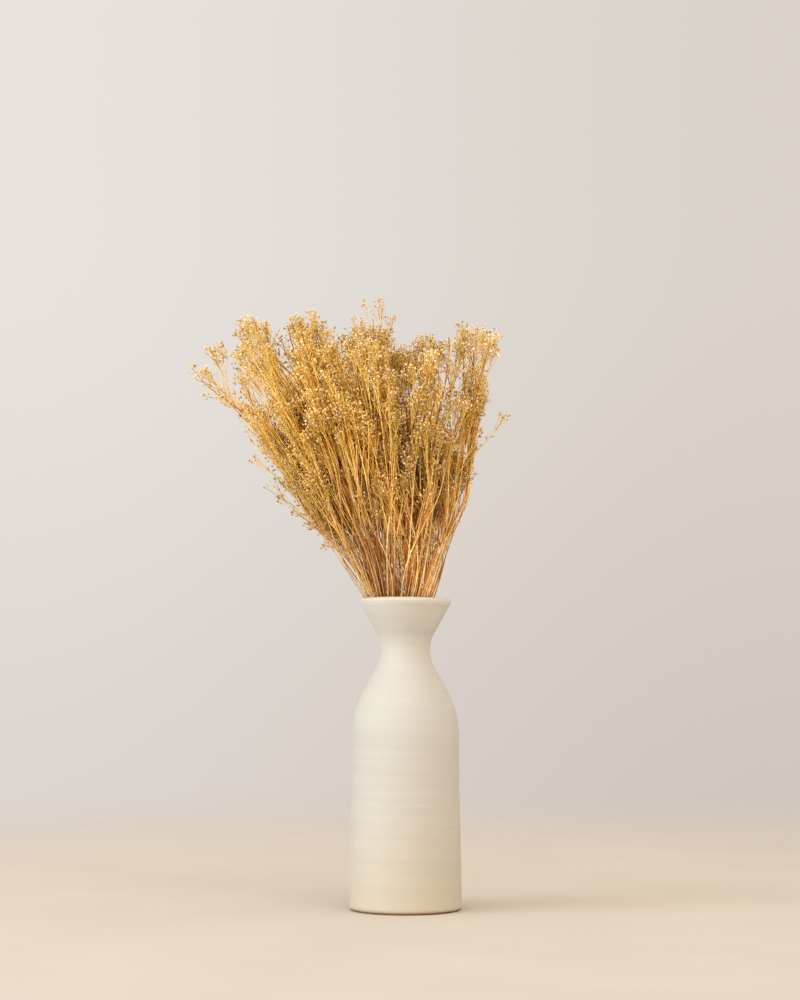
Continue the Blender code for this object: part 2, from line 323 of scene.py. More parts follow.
# Materials of buds: dark, middle and light colour
BUD_FINISHES = (
    ("bud_gold", (0.62, 0.34, 0.07), (0.89, 0.64, 0.25), (0.80, 0.65, 0.44)),
    ("bud_straw", (0.68, 0.47, 0.22), (0.83, 0.65, 0.43), (0.80, 0.69, 0.58)),
    ("bud_amber", (0.38, 0.18, 0.02), (0.74, 0.43, 0.10), (0.83, 0.59, 0.28)),
)
FIRST_BUD_FINISH = 4
INNER_FINISH = 6

# Shares of those materials, in the order of their tables
OUTER_STEM_TONES = (0.46, 0.38, 0.16)
# Browner stems inside the bunch and just left of its middle: painted shade
SHADED_INNER_STEM_TONES = (0.14, 0.34, 0.52)
SHADE_GAP_STEM_TONES = (0.06, 0.32, 0.62)
INNER_REACH = 0.6
SHADE_GAP_SPAN = (-0.046, -0.018)
TWIG_TONES = (0.38, 0.24, 0.10, 0.28)
RAY_TONES = (0.20, 0.12, 0.20, 0.48)
TONE_SHARES = {
    "bloom_gold": (0.70, 0.12, 0.18),
    "bloom_straw": (0.58, 0.24, 0.18),
    "bloom_amber": (0.58, 0.08, 0.34),
}
STRAW_FROM = -0.03
STRAW_OVER = 0.08
STRAW_BOOST = 2.0

# Tints over the bunch, each between two heights or two places across
WHITE = (1.0, 1.0, 1.0)
STEM_RISE = (0.260, 0.400)
BUD_RISE = (0.360, 0.430)
# Buds darker low down: painted shade under the crown
LOW_BUD_SHADE = (0.88, 0.84, 0.84)
SIDE_SPAN = (-0.08, 0.06)
LOW_SPAN = (0.300, 0.372)
TOP_SPAN = (0.400, 0.470)
# Left and right tints low down, in the middle and at the top: painted shade low on the left and at
# the top, painted light at middle heights on the left; the right is also paler and bluer
LEFT_PAINTED_LIGHT = ((0.84, 0.84, 0.80), (1.03, 1.08, 1.14), (0.88, 0.94, 1.09))
RIGHT_PAINTED_LIGHT = ((1.06, 1.17, 1.38), (0.97, 1.07, 1.38), (0.87, 0.95, 1.18))

# Painted shadow and light in slanted bands below a height, by x and a share of z
BAND_SLANT = 0.42
PAINTED_LIGHT_BANDS = (
    (0.050, (0.90, 0.93, 0.94)), (0.062, (1.08, 1.09, 1.06)), (0.078, (1.0, 1.0, 1.0)),
    (0.092, (0.86, 0.84, 0.86)), (0.108, (0.96, 0.95, 0.98)), (0.122, (1.20, 1.18, 1.12)),
    (0.146, (1.0, 1.0, 1.0)),
)
BAND_SPAN = (0.360, 0.405)

# The middle of a noise's range, and a narrower part of it
NOISE_SPAN = (0.3, 0.7)
PATCH_SPAN = (0.35, 0.65)

# Stoneware: colours up the wall, warmer at the foot as a painted reflection of the floor and
# lighter up the collar as painted light, specks, and the bare clay of the foot ring
STONEWARE_CLIMB_AND_PAINTED_LIGHT = (
    (0.0, (0.482, 0.422, 0.340)), (0.30, (0.455, 0.430, 0.388)), (0.65, (0.435, 0.424, 0.396)),
    (0.85, (0.448, 0.431, 0.397)), (1.0, (0.492, 0.468, 0.424)),
)
SPECK_COLOUR = (0.42, 0.38, 0.33)
CLAY_COLOUR = (0.33, 0.20, 0.10)
CLAY_SPAN = (0.0010, 0.0024)

# Setting: a round floor that fades out, the wall's colours by the way of view, lighter to the left
# as painted light, and soft lights
FLOOR_COLOURS = ((0.0, (0.475, 0.434, 0.378)), (1.0, (0.500, 0.458, 0.402)))
FLOOR_SIDES = 96
FLOOR_REACH = 3.1
FLOOR_FADE = (0.20, 1.60)
# The wall lighter to the left and darker to the right: painted light from the left
BACKDROP_AND_PAINTED_LIGHT = (
    ("Z", -0.12, 0.16, (0.609, 0.564, 0.532), (0.682, 0.650, 0.625)),
    ("X", -0.16, 0.16, (1.0, 1.0, 1.0), (0.884, 0.860, 0.827)),
)
AMBIENT_COLOUR = (1.0, 0.895, 0.77)
AMBIENT_SPAN = (-0.8, 0.8)
AMBIENT = (1.28, 0.82)
LIGHTS = (
    ("key", (-2.32, -1.08, 0.88), 2.0, 46.0, (0.81, 0.94, 1.03)),
    ("fill", (1.1, -2.0, 0.55), 2.4, 15.0, (1.0, 0.945, 0.88)),
    ("top", (0.1, -0.7, 1.9), 1.8, 6.0, (1.0, 0.98, 0.96)),
)
LIGHT_AIM = (0.0, 0.0, 0.25)
CAMERA_PLACE = (-0.0045, -2.042, 0.223)
CAMERA_AIM = (-0.0045, 0.0, 0.330)
CAMERA_LENS = 90.7
CAMERA_SENSOR = 36.0


# The fan that the sprays follow


def ramp(height, start, blend):
    """0 below start, then the height above it, with a smooth change over about blend."""
    above = height - start
    return (math.hypot(above, blend) + above) / 2


def fan(height):
    """The bunch's cross-section at a height: centre x, half widths in x and y, and turn."""
    opening = ramp(height, FAN_START, FAN_BLEND)
    below = ramp(-height, -FAN_START, FAN_BLEND)
    waist = NECK_SPREAD + FOOT_SPREAD_RATE * below
    centre = NECK_OFFSET - LEAN_RATE * ramp(height, LEAN_START, LEAN_BLEND)
    turn = TWIST * math.atan((height - FAN_START) / TWIST_LENGTH)
    return centre, waist + FAN_RATE_X * opening, waist + FAN_RATE_Y * opening, turn


def place(spot, height):
    """The point of the fan at a spot of its unit disc, at a height."""
    centre, half_x, half_y, turn = fan(height)
    turned = Matrix.Rotation(turn, 2) @ spot
    return Vector((centre + half_x * turned.x, half_y * turned.y, height))


def spot_at(point):
    """The spot of the unit disc that a point of the fan belongs to."""
    centre, half_x, half_y, turn = fan(point.z)
    flat = Vector(((point.x - centre) / half_x, point.y / half_y))
    return Matrix.Rotation(-turn, 2) @ flat


def keep_in_cell(point, cell, margin):
    """The point, drawn in until it is margin inside its spray's cell."""
    _, half_x, half_y, _ = fan(point.z)
    limit = CELL_RADIUS - margin / min(half_x, half_y)
    offset = spot_at(point) - cell
    if offset.length > limit:
        offset *= max(limit, 0.0) / offset.length
    return place(cell + offset, point.z)


def spray_cells(rng):
    """Spots of the unit disc, one for each spray, scattered and then pushed apart."""
    cells = []
    for i in range(SPRAYS):
        reach = (1 - CELL_RADIUS) * math.sqrt((i + 0.5) / SPRAYS)
        spot = Matrix.Rotation(i * GOLDEN_ANGLE, 2) @ Vector((reach, 0.0))
        scatter = Vector((rng.uniform(-1, 1), rng.uniform(-1, 1))) * CELL_RADIUS * CELL_SCATTER
        cells.append(spot + scatter)
    spacing = CELL_SPACING * CELL_RADIUS
    for _ in range(SPREADING_PASSES):
        for i, first in enumerate(cells):
            for second in cells[:i]:
                apart = first - second
                if apart.length < spacing:
                    push = apart.normalized() * (spacing - apart.length) / 2
                    first += push
                    second -= push
            if first.length > 1 - CELL_RADIUS:
                first *= (1 - CELL_RADIUS) / first.length
    return cells


def across(table, at, column=1):
    """A table's value by straight lines between its rows."""
    rows = np.array(table)
    return float(np.interp(at, rows[:, 0], rows[:, column]))


def crown_over(cell):
    """The crown's height where a spray reaches it."""
    height = CROWN_MIDDLE
    for _ in range(CROWN_PASSES):
        top = place(cell, height)
        height = across(CROWN, top.x) - DOME_DROP * (top.y / DOME_DEPTH) ** 2
    return height


def tip_heights(cells, rng):
    """The height of each spray's tip: most reach the crown, some stay well below."""
    heights = [crown_over(cell) - LONGEST_DROP * rng.random() ** DROP_POWER for cell in cells]
    spike = Vector((SPIKE_X, 0.0, SPIKE_HEIGHT))
    nearest = min(range(SPRAYS), key=lambda i: (place(cells[i], SPIKE_HEIGHT) - spike).length)
    heights[nearest] = SPIKE_HEIGHT
    return heights


# Skeleton of a plain spray: each shoot as a path of points, and each twig as its root and end


def square_to(along, turn):
    """The unit vector square to along that lies at an angle round it."""
    side = along.cross(Vector((0.0, 1.0, 0.0))).normalized()
    return Matrix.Rotation(turn, 3, along.normalized()) @ side


def on_path(path, height):
    """The point of a polyline of rising points at a height, which may lie past its ends."""
    i = min(max(bisect.bisect([p.z for p in path], height), 1), len(path) - 1)
    low, high = path[i - 1], path[i]
    return low.lerp(high, (height - low.z) / (high.z - low.z))


def skip_buds(rng):
    """The draws that the frame's buds take."""
    rng.uniform(0, math.tau)
    for _ in range(BUDS_PER_TWIG):
        rng.uniform(*SPACING_RANGE)


def shoot_path(start, cell, offset, levels, top, rng):
    path = [start]
    for level in (*levels, top):
        aside = offset if level > FORK_HEIGHT else Vector((0.0, 0.0))
        path.append(place(cell + aside, level))
    skip_buds(rng)
    return path


def twig_ends(path, root_height, rise, turn, reach, cell, rng):
    root, beyond = on_path(path, root_height), on_path(path, root_height + rise)
    out = square_to(beyond - root, turn)
    end = beyond + out * reach
    while (keep_in_cell(end, cell, BUD_RADIUS + CLEARANCE) - end).length > CLEARANCE:
        reach *= REACH_STEP
        end = beyond + out * reach
    skip_buds(rng)
    return root, end


def twigs_of(path, spin, other_path, cell, count, rng):
    """Twigs up a shoot, by turns from the two faces that look away from the other shoot."""
    top = path[-1].z
    first = max(BLOOM_START, top - BLOOM_SPAN)
    along = on_path(path, top) - on_path(path, first)
    away = on_path(path, top) - on_path(other_path, top)
    turns = [spin + math.tau * (face + 0.5) / SIDES for face in range(SIDES)]
    turns.sort(key=lambda turn: -square_to(along, turn).dot(away))
    found = []
    for i in range(count):
        rise = rng.uniform(*TWIG_RISE)
        last = top - rise
        root_height = first + (last - first) * (i + rng.uniform(*ROOT_RANGE)) / count
        room = CELL_RADIUS * fan(root_height + rise)[2]
        found.append(twig_ends(path, root_height, rise, turns[i % 2], room, cell, rng))
    return found


def spray_skeleton(cell, top, rng):
    """A spray's turn, the tops of its two shoots, and the roots and ends of its twigs."""
    turn = rng.uniform(0, math.tau)
    offset = Vector((math.cos(turn), math.sin(turn))) * CELL_RADIUS * FORK_OFFSET
    floor = place(cell, FLOOR_THICKNESS + STEM_GAP)
    levels = [level for level in STEM_LEVELS if level < top - LAST_STRETCH]
    path = shoot_path(floor, cell, offset, levels, top, rng)
    side_top = top - rng.uniform(*SIDE_SHOOT_DROP)
    side_levels = [level for level in levels if FORK_HEIGHT < level < side_top - LAST_STRETCH]
    fork = on_path(path, FORK_HEIGHT)
    side_path = shoot_path(fork, cell, -offset, side_levels, side_top, rng)
    twigs = twigs_of(path, 0.0, side_path, cell, TWIGS_ON_MAIN, rng)
    twigs += twigs_of(side_path, SIDE_SHOOT_SPIN, path, cell, TWIGS_ON_SIDE, rng)
    return path, offset, (top, side_top), twigs


# Fine solids, built from arrays of points


def linked(name, data):
    """A new object in the scene."""
    obj = bpy.data.objects.new(name, data)
    bpy.context.scene.collection.objects.link(obj)
    return obj


def unit(vectors):
    return vectors / np.linalg.norm(vectors, axis=-1, keepdims=True)


def frames_along(along):
    """Two unit vectors square to each unit vector and to each other."""
    side = unit(np.cross(along, (0.0, 1.0, 0.0)))
    return side, np.cross(along, side)


def out_at(turns, along):
    """Unit vectors square to each unit vector, at angles round it."""
    side, up = frames_along(along)
    return side * np.cos(turns)[:, None] + up * np.sin(turns)[:, None]


def ring(radius, height, sides):
    """Points round the Z axis, whose radius and height may differ from point to point."""
    turns = np.arange(sides) * math.tau / sides
    heights = np.broadcast_to(height, sides)
    return np.stack((np.cos(turns) * radius, np.sin(turns) * radius, heights), axis=1)


def wall_faces(rings, sides):
    """Four-sided faces between rings of points that follow one another."""
    i = np.arange(sides)
    j = np.roll(i, -1)
    quad = np.stack((i, j, j + sides, i + sides), axis=1)
    return (quad + (np.arange(rings - 1) * sides)[:, None, None]).reshape(-1, 4)


class Pile:
    """The points and faces of one piece, gathered part by part."""

    def __init__(self):
        self.points = []
        self.faces = []
        self.finishes = []
        self.count = 0

    def add(self, points, groups, finishes):
        """Groups of faces that number these points from 0, each with one finish or one a face."""
        for faces, finish in zip(groups, finishes):
            self.faces += (faces + self.count).tolist()
            self.finishes.append(np.broadcast_to(finish, len(faces)))
        self.points.append(points.reshape(-1, 3))
        self.count += len(self.points[-1])

    def tubes(self, lines, radii, sides, finish):
        """Tubes round n lines of k points, (n, k, 3); radii are one, (k,) or (n, k)."""
        lots, steps = lines.shape[:2]
        frames = np.stack(frames_along(unit(np.gradient(lines, axis=1))), axis=2)
        turns = np.arange(sides) * math.tau / sides
        spokes = np.stack((np.cos(turns), np.sin(turns)), axis=1) @ frames
        rings = lines[:, :, None] + spokes * np.asarray(radii)[..., None, None]
        starts = (np.arange(lots) * steps * sides)[:, None, None]
        faces = (wall_faces(steps, sides) + starts).reshape(-1, 4)
        if np.ndim(finish):
            finish = np.repeat(finish, (steps - 1) * sides)
        self.add(rings, (faces,), (finish,))

    def shapes(self, template, groups, finishes, places, roots, along, sizes, spins):
        """Copies of a small solid that points along +Z, whose first points go to the roots."""
        side, up = frames_along(along)
        cos, sin = np.cos(spins)[:, None], np.sin(spins)[:, None]
        turned = np.stack((side * cos + up * sin, up * cos - side * sin, along), axis=1)
        points = places[:, None] + (template @ turned) * sizes[:, None, None]
        points[:, 0] = roots
        starts = (np.arange(len(places)) * len(template))[:, None, None]
        faces = [(group + starts).reshape(-1, group.shape[1]) for group in groups]
        each = [np.repeat(finish, len(group)) for group, finish in zip(groups, finishes)]
        self.add(points, faces, each)

    def object(self, name, finishes):
        mesh = bpy.data.meshes.new(name)
        mesh.from_pydata(np.concatenate(self.points).tolist(), [], self.faces)
        for finish in finishes:
            mesh.materials.append(finish)
        mesh.polygons.foreach_set("material_index", np.concatenate(self.finishes).astype(np.int32))
        mesh.shade_smooth()
        return linked(name, mesh)


def bud_shapes():
    """A closed bud and an open one, one unit long, each with its groups of faces."""
    i = np.arange(BUD_SIDES)
    j = np.roll(i, -1)
    foot = np.stack((0 * i, j + 1, i + 1), axis=1)
    point = np.stack((i + 1, j + 1, 0 * i + 1 + BUD_SIDES), axis=1)
    closed = np.concatenate(([[0, 0, 0]], ring(BUD_SLENDER, BUD_BELLY, BUD_SIDES), [[0, 0, 1]]))
    ragged = np.array(MOUTH)
    (width, more_width), (height, more_height) = MOUTH_WIDTH, MOUTH_HEIGHT
    width = BUD_SLENDER * (width + more_width * ragged)
    mouth = ring(width, height + more_height * ragged, BUD_SIDES)
    belly = ring(BUD_SLENDER * OPEN_BELLY[0], OPEN_BELLY[1], BUD_SIDES)
    opened = np.concatenate(([[0, 0, 0]], belly, mouth, [[0, 0, BUD_BELLY]]))
    sides, inside = wall_faces(2, BUD_SIDES) + 1, point + BUD_SIDES
    return (closed, (foot, point)), (opened, (foot, sides, inside))


def hermite(start, start_way, end, end_way, count):
    """Points of a smooth line between two points, with unit vectors for its ways at the ends."""
    t = np.linspace(0, 1, count)[:, None]
    reach = np.linalg.norm(end - start)
    leaving = (2 * t**3 - 3 * t**2 + 1) * start + (t**3 - 2 * t**2 + t) * reach * start_way
    arriving = (3 * t**2 - 2 * t**3) * end + (t**3 - t**2) * reach * end_way
    return leaving + arriving


def fan_way(spot, height):
    """The way that stems run at a spot of the fan."""
    here, above = place(Vector(spot), height), place(Vector(spot), height + WAY_STEP)
    return np.array((above - here).normalized())


class Stem:
    """One fine stem, which stays in its spray's cell from the floor to its tip."""

    def __init__(self, cell, offset, top, drift, rng):
        self.cell = np.array(cell)
        self.drift = rng.normal(0, drift, 2)
        self.offset = np.array(offset)
        self.lengths = rng.uniform(*SWAY_LENGTH, 2)
        self.phases = rng.uniform(0, math.tau, 2)
        self.top = top

    def spot(self, height):
        growth = min(max((height - SWAY_START) / SWAY_GROWTH, 0.0), 1.0)
        waves = np.sin(height / self.lengths * math.tau + self.phases) * growth**2
        swing = (1 + CROSSING) * growth**2 * (3 - 2 * growth) - CROSSING
        spot = self.cell + self.offset + waves * SWAY * CELL_RADIUS + self.drift * swing
        return spot * min(1.0, STEM_LIMIT / np.linalg.norm(spot))

    def point(self, height):
        return np.array(drawn_in(place(Vector(self.spot(height)), height), DRAW_OUT))

    def line(self):
        low = np.linspace(FLOOR_THICKNESS + STEM_GAP, NECK_HEIGHT, STEM_LOW_POINTS + 1)[:-1]
        high = np.linspace(NECK_HEIGHT, self.top, STEM_POINTS - STEM_LOW_POINTS)
        return np.array([self.point(height) for height in (*low, *high)])

    def gap(self, point):
        """How far from a point the stem passes at the point's height."""
        return np.linalg.norm(self.point(min(point.z, self.top)) - np.array(point))


def along_lines(lines, which, shares):
    """The points at shares of the length of the chosen lines, of evenly spaced points."""
    places = shares * (lines.shape[1] - 1)
    below = np.minimum(places.astype(int), lines.shape[1] - 2)
    part = (places - below)[:, None]
    return lines[which, below] * (1 - part) + lines[which, below + 1] * part


def curves(roots, ends, arrival, count):
    """Lines of count points that reach their ends along arrival, and arrival."""
    reach = np.linalg.norm(ends - roots, axis=1)[:, None]
    bends = ends - arrival * reach * RAY_BEND
    t = np.linspace(0, 1, count)[None, :, None]
    lines = (1 - t) ** 2 * roots[:, None] + 2 * t * (1 - t) * bends[:, None] + t**2 * ends[:, None]
    return lines, arrival


def head_rays(twigs, ways, rays, rng):
    """All heads' rays, from their twigs' upper parts to domed tops, and their ends' ways."""
    of = np.repeat(np.arange(len(twigs)), rays)
    number = np.concatenate([np.arange(count) for count in rays])
    count = len(of)
    turns = number * GOLDEN_ANGLE + rng.uniform(0, math.tau, len(twigs))[of]
    radius = rng.uniform(*HEAD_RADIUS, len(twigs))[of]
    share = np.sqrt((number + 0.5) / rays[of]) * rng.uniform(*RAY_SPREAD, count)
    share = np.where(rays[of] == 1, 0.0, share)
    out = out_at(turns, ways[of])
    drop = HEAD_DOME * share**2 + rng.uniform(0, HEAD_UNEVEN, count)
    ends = twigs[of, -1] + out * (radius * share)[:, None] - ways[of] * drop[:, None]
    lengths = np.linalg.norm(np.diff(twigs, axis=1), axis=2).sum(axis=1)[of]
    below = np.minimum(rng.uniform(*RAY_LENGTH, count) / lengths, RAY_LONGEST)
    roots = along_lines(twigs, of, 1 - below)
    return curves(roots, ends, unit(ways[of] + out * (share * FLARE)[:, None]), RAY_POINTS)


def buds_round(rays, ways, rng):
    """Short stalks round the ends of all rays, and their ends' ways."""
    of = np.repeat(np.arange(len(rays)), rng.integers(*BUDS_ROUND, len(rays)))
    count = len(of)
    out = out_at(rng.uniform(0, math.tau, count), ways[of])
    reach = BUDS_REACH * rng.uniform(*BUDS_SPREAD, count)[:, None]
    ends = rays[of, -1] + out * reach - ways[of] * rng.uniform(*BUDS_BELOW, count)[:, None]
    roots = along_lines(rays, of, rng.uniform(*STALK_ROOTS, count))
    return curves(roots, ends, unit(ways[of] + out * FLARE), STALK_POINTS)


def leaning(roots, beyond, lean, length, rng):
    """Ends and ways of short shoots that leave lines at roots, given points beyond them."""
    count = len(roots)
    along = unit(beyond - roots)
    out = out_at(rng.uniform(0, math.tau, count), along)
    ways = unit(along + out * rng.uniform(*lean, count)[:, None])
    return roots + ways * rng.uniform(*length, count)[:, None], ways


def stubs_along(lines, rng):
    """Short bare side shoots on the lower part of stems, as lines of two points."""
    heights = rng.uniform(*STUB_HEIGHTS, (len(lines), STUBS_ON_STEM))

    def at(rise):
        return np.array([
            [np.interp(row + rise, line[:, 2], line[:, axis]) for axis in range(3)]
            for row, line in zip(heights, lines)
        ]).transpose(0, 2, 1).reshape(-1, 3)

    roots = at(0.0)
    ends, _ = leaning(roots, at(STEM_SHORT), STUB_LEAN, STUB_LENGTH, rng)
    return np.stack((roots, ends), axis=1)


def flecks_along(lines, amount, rng):
    """Small buds on the sides of lines: their roots, places and ways."""
    of = np.repeat(np.arange(len(lines)), rng.integers(*amount, len(lines)))
    shares = rng.uniform(*FLECK_SHARES, len(of))
    roots, beyond = (along_lines(lines, of, shares + step) for step in (0.0, FLECK_STEP))
    places, ways = leaning(roots, beyond, FLECK_LEAN, FLECK_REACH, rng)
    kept = np.array([is_clear(Vector(spot)) for spot in places], bool)
    return roots[kept], places[kept], ways[kept]


# Where heads and buds may stand


def drawn_in(point, widest=1.0):
    """The point, moved aside as the fan's flank has to move to meet the outline."""
    centre, half_x, _, _ = fan(point.z)
    flank = across(FLANKS, point.z, 1 if point.x < centre else 2)
    room = abs(flank - centre) / (half_x * STEM_LIMIT)
    return Vector((centre + (point.x - centre) * min(room, widest), point.y, point.z))


def seen(point):
    """The x and z that a point seems to have from the front, at y = 0."""
    eye_x, eye_y, eye_z = CAMERA_PLACE
    share = eye_y / (eye_y - point.y)
    return eye_x + (point.x - eye_x) * share, eye_z + (point.z - eye_z) * share


def head_limit(point, aside=0.0):
    """The height that buds may reach over a point and over what lies aside of it."""
    x, _ = seen(point)
    crown = min(across(FINE_CROWN, x + step) for step in (-aside, 0.0, aside))
    return crown - DOME_DROP * (point.y / DOME_DEPTH) ** 2


def is_bare(point):
    """Whether a point lies where the bunch's front shows only stems, left of its middle."""
    to_x, height, depth = BARE_FRONT
    x, z = seen(point)
    return point.y < depth and across(FLANKS, z) + FLANK_WIDTH < x < to_x and z < height


def is_clear(point, margin=0.0):
    """Whether buds may stand at a point: not too low, nor where the bunch is bare or thin."""
    x, z = seen(point)
    is_thin = any(
        math.hypot((x - at_x) / (width + margin), (z - at_z) / (height + margin)) < 1
        for at_x, at_z, width, height in THIN_PLACES
    )
    lowest = across(LOW_EDGE, x) + LOW_UNEVEN * noise.noise(point * PATCH_RATE)
    return z > lowest and not is_bare(point) and not is_thin


def edge_gaps(point):
    """How far inside the left and the right edge a point seems to lie."""
    x, z = seen(point)
    return x - across(FLANKS, z), across(FLANKS, z, 2) - x


def is_inside(point):
    """Whether a head may stand at a point: inside the outline, and clear."""
    left, right = edge_gaps(point)
    is_within = left > LEFT_MARGIN and right > RIGHT_MARGIN and abs(point.y) < FRONT_REACH
    return is_within and is_clear(point, THIN_MARGIN)


def in_patch(point):
    """Whether a point lies in a patch, smaller further out, that low heads gather in."""
    return noise.noise(point * PATCH_RATE) > PATCH_LEVEL + PATCH_RISE * spot_at(point).length


def head_place(stem, cell, top, rng):
    """A point near a stem for a head inside the outline, or None where there is no room."""
    lower = min(top - crown_over(cell), 0.0) + (stem.top - top)
    for _ in range(HEAD_TRIES):
        is_top = rng.random() < TOP_SHARE
        scatter = TOP_SCATTER if is_top else LOW_SCATTER
        fall = TOP_DROP * rng.random() ** TOP_POWER
        if not is_top:
            fall = TOP_DROP + rng.random() ** DEPTH_POWER * DEEPEST_DROP
        aside = Vector(rng.normal(0, scatter * CELL_RADIUS, 2))
        limit = top
        for _ in range(CROWN_PASSES):
            limit = head_limit(place(Vector(stem.spot(limit)) + aside, limit), NOTCH_REACH)
        height = limit + DROP_SHARE * lower - fall
        point = drawn_in(place(Vector(stem.spot(height)) + aside, height), DRAW_OUT)
        if is_inside(point) and (is_top or in_patch(point)):
            return point
    return None


def twig_to(point, stem, rng):
    """A twig from a stem to a point, and the way that it ends in."""
    tip = np.array(point)
    root_height = max(point.z - rng.uniform(*TWIG_CLIMB), LOWEST_ROOT)
    root_height = min(root_height, stem.top - STEM_SHORT)
    start = stem.point(root_height)
    stem_way = unit(stem.point(root_height + STEM_SHORT) - start)
    way = fan_way(spot_at(point), point.z)
    leaving = unit(stem_way + TWIG_TURN * unit(tip - start))
    return hermite(start, leaving, tip, way, TWIG_POINTS), way


def stands_clear(point):
    """Whether a twig's tip lies above the bunch's crown or beside its flanks."""
    is_above = point.z > head_limit(point) + CLEAR_MARGIN
    return is_above or min(edge_gaps(point)) <= -CLEAR_MARGIN


def crown_points(rng):
    """Places under the crown, each of which the nearest stem sends a head to."""
    points = []
    for x in np.linspace(LEADER_FROM, FINE_CROWN[-1][0] - NOTCH_REACH, LEADERS):
        point = Vector((x, rng.normal(0, LEADER_DEPTH), 0.0))
        point.z = head_limit(point, NOTCH_REACH) - LEADER_DROP * rng.random() ** LEADER_POWER
        if is_inside(point):
            points.append(point)
    return points + [Vector(spot) for spot in (*SPIKE_HEADS, *WING_HEADS, *FLANK_HEADS)]


